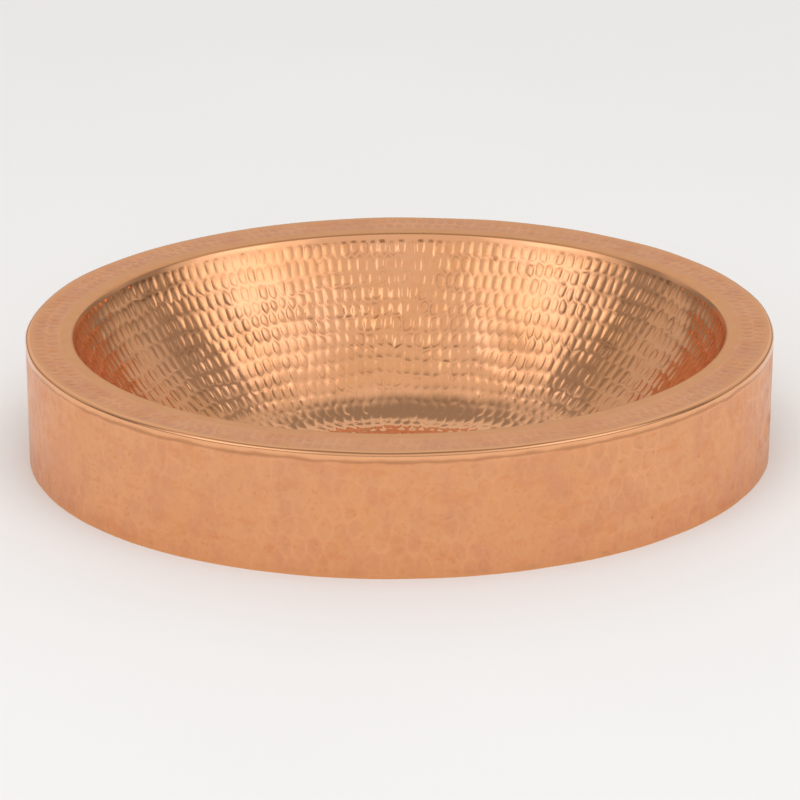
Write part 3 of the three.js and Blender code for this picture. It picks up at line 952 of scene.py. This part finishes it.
nut_levels = [nut_low.z + (nut_high.z - nut_low.z) * share
              for share in (0, 0.06, 0.12, 0.18, 0.25, 0.5, 0.75, 0.82, 0.88, 0.94, 1)]
brass = turned_metal(
    "turned_brass", (0.80, 0.60, 0.28, 1), (0.74, 0.52, 0.22, 1), gloss_low=0.22, gloss_high=0.36)
back_nut = turned_piece("hexagon_nut", brass, [
    (CLAMP_BORE + NUT_CHAMFER, nut_low.z), (nut_flat - 1 * MM, nut_low.z),
    *[(nut_flat, level) for level in nut_levels],
    (nut_flat - 1 * MM, nut_high.z), (CLAMP_BORE + NUT_CHAMFER, nut_high.z),
    (CLAMP_BORE, nut_high.z - NUT_CHAMFER), (CLAMP_BORE, nut_low.z + NUT_CHAMFER),
], steps=144, reshape=six_flats)
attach(back_nut, "basin")
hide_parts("back_nut")


# --------------------
# The cartridge. A turned brass barrel screwed into the drain's hub. Its neck guides the plunger, and a brass
# foot pressed into its lower end carries the spring.

BARREL_RADIUS = 7.5 * MM
BARREL_BORE = 6.3 * MM
NECK_BORE = 3.85 * MM
HEAD_HEIGHT = 2.7 * MM
BUSH_HEIGHT = 3 * MM
KNURLS = 36
KNURL_DEPTH = 0.25 * MM
HEAD_EASE = 0.5 * MM
NIB_RADIUS = 3.5 * MM
PLUG_DISC = 3 * MM

barrel_low, barrel_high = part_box("cartridge_housing")
head_radius = barrel_high.x


def knurled(angle, radius, level):
    """Grips the rim of the head with small upright grooves."""
    if radius < head_radius - 1e-6:
        return radius
    return radius - KNURL_DEPTH * (0.5 - 0.5 * math.cos(angle * KNURLS))


barrel = turned_piece("cartridge_barrel", brass, [
    *eased([
        (BARREL_BORE, barrel_low.z), (BARREL_RADIUS, barrel_low.z),
        (BARREL_RADIUS, barrel_high.z - HEAD_HEIGHT),
        (head_radius - HEAD_EASE, barrel_high.z - HEAD_HEIGHT),
    ], 0.3 * MM),
    (head_radius, barrel_high.z - HEAD_HEIGHT + HEAD_EASE), (head_radius, barrel_high.z - HEAD_EASE),
    *eased([
        (head_radius - HEAD_EASE, barrel_high.z),
        (NECK_BORE, barrel_high.z), (NECK_BORE, barrel_high.z - BUSH_HEIGHT),
        (BARREL_BORE, barrel_high.z - BUSH_HEIGHT),
    ], 0.3 * MM),
], steps=144, reshape=knurled)
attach(barrel, "basin")
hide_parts("cartridge_housing")

plug_low, plug_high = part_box("cartridge_end_plug")
barrel_foot = turned_piece("cartridge_foot", brass, eased([
    (0, plug_low.z), (plug_high.x, plug_low.z), (plug_high.x, plug_low.z + PLUG_DISC),
    (NIB_RADIUS, plug_low.z + PLUG_DISC), (NIB_RADIUS, plug_high.z), (0, plug_high.z),
], 0.35 * MM, closed=False), steps=64, closed=False)
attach(barrel_foot, "basin")
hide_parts("cartridge_end_plug")


# --------------------
# The spring. Stainless wire wound in seven turns, its end turns closed up flat, between the cartridge's
# foot and the plunger's piston. It shortens as the plug is pushed down.

WIRE_RADIUS = 0.6 * MM
SPRING_TURNS = 7
STEPS_PER_TURN = 36
WIRE_STEPS = 10

spring_low, spring_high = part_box("return_spring")


def wind_spring():
    """A helix whose pitch eases to the wire's own thickness over its first and last turns."""
    coil = spring_high.x - WIRE_RADIUS
    bottom = spring_low.z + WIRE_RADIUS
    height = spring_high.z - spring_low.z - 2 * WIRE_RADIUS
    closed_rise = 2 * WIRE_RADIUS / height
    total = SPRING_TURNS * STEPS_PER_TURN
    mesh = bmesh.new()
    rings = []
    for step in range(total + 1):
        turn = step / STEPS_PER_TURN
        share = np.interp(turn, (0, 1, SPRING_TURNS - 1, SPRING_TURNS),
                          (0, closed_rise, 1 - closed_rise, 1))
        angle = turn * TURN
        centre = Vector((coil * math.cos(angle), coil * math.sin(angle), bottom + height * share))
        outwards = Vector((math.cos(angle), math.sin(angle), 0))
        ring = []
        for side in range(WIRE_STEPS):
            tilt = side * TURN / WIRE_STEPS
            ring.append(mesh.verts.new(
                centre + WIRE_RADIUS * (outwards * math.cos(tilt) + Vector((0, 0, math.sin(tilt))))))
        rings.append(ring)
    skin(mesh, rings)
    return finish_mesh("wound_spring", mesh, sharp=60)


steel = turned_metal(
    "stainless_steel", (0.62, 0.62, 0.61, 1), (0.54, 0.54, 0.54, 1), gloss_low=0.2, gloss_high=0.32)
spring = wind_spring()
spring.data.materials.append(steel)
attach(spring, "basin")
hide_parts("return_spring")
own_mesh(spring)


# --------------------
# The plunger. A stainless rod turned with a piston near its lower end, which the spring lifts against the
# cartridge's neck. Its top is pressed into the cap.

ROD_RADIUS = 3.5 * MM
PISTON_HEIGHT = 3 * MM
NIB_HEIGHT = 2 * MM

rod_low, rod_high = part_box("plunger_stem")
piston_foot = rod_low.z + NIB_HEIGHT
plunger = turned_piece("plunger_rod", steel, eased([
    (0, rod_low.z), (NIB_RADIUS, rod_low.z), (NIB_RADIUS, piston_foot), (rod_high.x, piston_foot),
    (rod_high.x, piston_foot + PISTON_HEIGHT), (ROD_RADIUS, piston_foot + PISTON_HEIGHT),
    (ROD_RADIUS, rod_high.z), (0, rod_high.z),
], 0.35 * MM, closed=False), steps=72, closed=False)
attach(plunger, "plug")
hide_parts("plunger_stem")


# --------------------
# The plug. A low domed cap, turned from brass and plated with copper, with a boss below for the plunger. A
# lipped rubber seal is stretched over the boss, and closes the drain when the cap is pushed down.

CAP_EDGE = 2 * MM
DOME_STEPS = 14
SEAL_GAP = 0.3 * MM
BOSS_RADIUS = 6 * MM
SOCKET_DEPTH = 3 * MM

cap_low, cap_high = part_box("plug_cap")
seal_low, seal_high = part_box("plug_seal")
cap_radius = cap_high.x
cap_underside = seal_high.z + SEAL_GAP
dome_rise = cap_high.z - cap_underside - CAP_EDGE
socket_radius = ROD_RADIUS + 0.15 * MM
socket_top = cap_underside + SOCKET_DEPTH

dome = [(cap_radius * (1 - step / DOME_STEPS),
         cap_underside + CAP_EDGE + dome_rise * (1 - (1 - step / DOME_STEPS) ** 2))
        for step in range(1, DOME_STEPS + 1)]
cap = turned_piece("domed_cap", plated_copper, eased([
    (0, socket_top), (socket_radius, socket_top), (socket_radius, cap_low.z),
    (BOSS_RADIUS, cap_low.z), (BOSS_RADIUS, cap_underside), (cap_radius, cap_underside),
    (cap_radius, cap_underside + CAP_EDGE), dome[0],
], 0.6 * MM, steps=4, closed=False)[:-1] + dome, steps=128, closed=False)
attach(cap, "plug")
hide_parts("plug_cap")

seal_middle = (seal_low.z + seal_high.z) / 2
seal_bore = BOSS_RADIUS + 0.1 * MM
seal = turned_piece("cap_seal", rubber, eased([
    (seal_bore, seal_low.z), (seal_high.x - 2.2 * MM, seal_low.z),
    (seal_high.x, seal_low.z + 0.3 * MM), (seal_high.x, seal_middle),
    (seal_high.x - 1.2 * MM, seal_high.z + SQUEEZE), (seal_bore, seal_high.z + SQUEEZE),
], 0.4 * MM, steps=4))
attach(seal, "plug")
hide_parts("plug_seal")


# --------------------
# The studio: a pale floor for the counter's top, soft boxes at the left and right of the front, and a
# camera in front of the basin that looks down into it.

FLOOR_HALF = 6.0
CUT_OUT_STEPS = 96
CUT_OUT_INSET = 8 * MM
LAMP_COLOUR = (0.96, 1.0, 1.08)
WALL_BRIGHTNESS = 0.78


def pale_floor():
    """The counter's top. It is open under the basin, inside the skirt, where the bowl hangs through."""
    mesh = bmesh.new()
    theta = np.arange(CUT_OUT_STEPS) * TURN / CUT_OUT_STEPS
    inner = [(angle, mesh.verts.new(((half_length - CUT_OUT_INSET) * math.cos(angle),
                                     (half_width - CUT_OUT_INSET) * math.sin(angle), 0)))
             for angle in theta]
    outer = [(angle, mesh.verts.new((FLOOR_HALF * math.cos(angle), FLOOR_HALF * math.sin(angle), 0)))
             for angle in theta]
    stitch(mesh, outer, inner)
    floor = finish_mesh("floor", mesh, closed=False)
    material, tree, shader, place = blank_material("pale_floor")
    tone = spread(tree, noise(tree, place, 3), 0.3, 0.7)
    tree.links.new(blend_colours(tree, tone, (0.89, 0.87, 0.84, 1), (0.91, 0.89, 0.86, 1)),
                   shader.inputs["Base Color"])
    shader.inputs["Roughness"].default_value = 0.8
    floor.data.materials.append(material)


pale_floor()


def softbox(name, azimuth, elevation, distance, width, height, brightness):
    """A soft box that faces the basin. Azimuth 0 is the front, and it grows towards the right."""
    light = bpy.data.lights.new(name, "AREA")
    light.shape = "RECTANGLE"
    light.size = width
    light.size_y = height
    light.energy = brightness * math.pi * width * height
    light.color = LAMP_COLOUR
    lamp = bpy.data.objects.new(name, light)
    azimuth, elevation = math.radians(azimuth), math.radians(elevation)
    away = Vector((math.sin(azimuth) * math.cos(elevation), -math.cos(azimuth) * math.cos(elevation),
                   math.sin(elevation)))
    lamp.location = away * distance + Vector((0, 0, rim_level))
    lamp.rotation_euler = away.to_track_quat("Z", "Y").to_euler()
    bpy.context.scene.collection.objects.link(lamp)
    return lamp


for side in (-1, 1):
    softbox("soft_box", side * 46, 33, 2.6, 1.6, 1.4, 0.35)
    softbox("soft_box_core", side * 48, 35, 2.6, 0.8, 0.7, 0.4)
floor_wash = softbox("floor_wash", 0, 75, 3.2, 3.0, 3.0, 1.75)
floor_wash.visible_glossy = False


def studio_walls():
    """Pale walls before and behind the basin, dark cloths at its sides and a dark ceiling over its front."""
    world = bpy.data.worlds.new("studio")
    world.use_nodes = True
    tree = world.node_tree
    direction = wire(tree, "ShaderNodeTexCoord").outputs["Generated"]
    parts = wire(tree, "ShaderNodeSeparateXYZ", {"Vector": direction})
    cloth_front = spread(tree, parts.outputs["Y"], -0.30, -0.20, 1.0, 0.42)
    behind_cloth = spread(tree, parts.outputs["Y"], 0.02, 0.20, 0.0, 0.33)
    open_wall = arithmetic(tree, "ADD", cloth_front, behind_cloth)
    aside = spread(tree, arithmetic(tree, "ABSOLUTE", parts.outputs["X"], 0.0), 0.50, 0.70)
    open_wall = wire(tree, "ShaderNodeMix", {0: aside, 2: 1.0, 3: open_wall}).outputs[0]
    overhead = spread(tree, parts.outputs["Z"], 0.82, 0.96)
    in_front = spread(tree, parts.outputs["Y"], 0.22, 0.36, 1.0, 0.25)
    dark = times(tree, times(tree, overhead, in_front), -0.58)
    ceiling = arithmetic(tree, "ADD", dark, 1.0)
    skirting = spread(tree, parts.outputs["Z"], 0.12, 0.30, 0.45, 1.0)
    strength = times(tree, times(tree, open_wall, ceiling), skirting)
    strength = times(tree, strength, WALL_BRIGHTNESS)
    background = tree.nodes["Background"]
    background.inputs["Color"].default_value = (1.0, 0.985, 0.96, 1)
    tree.links.new(strength, background.inputs["Strength"])
    bpy.context.scene.world = world


studio_walls()
bpy.context.scene.view_settings.view_transform = "Standard"

CAMERA_DISTANCE = 12 * half_length
CAMERA_AZIMUTH = 0.0495
CAMERA_ELEVATION = 0.4096
CAMERA_DIP = 0.0161
CAMERA_LENS = 201.9
CAMERA_FILM = 36
camera_data = bpy.data.cameras.new("camera")
camera_data.lens = CAMERA_LENS
camera_data.sensor_width = CAMERA_FILM
camera = bpy.data.objects.new("camera", camera_data)
camera.location = (
    -CAMERA_DISTANCE * math.sin(CAMERA_AZIMUTH) * math.cos(CAMERA_ELEVATION),
    -CAMERA_DISTANCE * math.cos(CAMERA_AZIMUTH) * math.cos(CAMERA_ELEVATION),
    rim_level + CAMERA_DISTANCE * math.sin(CAMERA_ELEVATION),
)
camera.rotation_euler = (math.pi / 2 - CAMERA_ELEVATION - CAMERA_DIP, 0, -CAMERA_AZIMUTH)
bpy.context.scene.collection.objects.link(camera)
bpy.context.scene.camera = camera
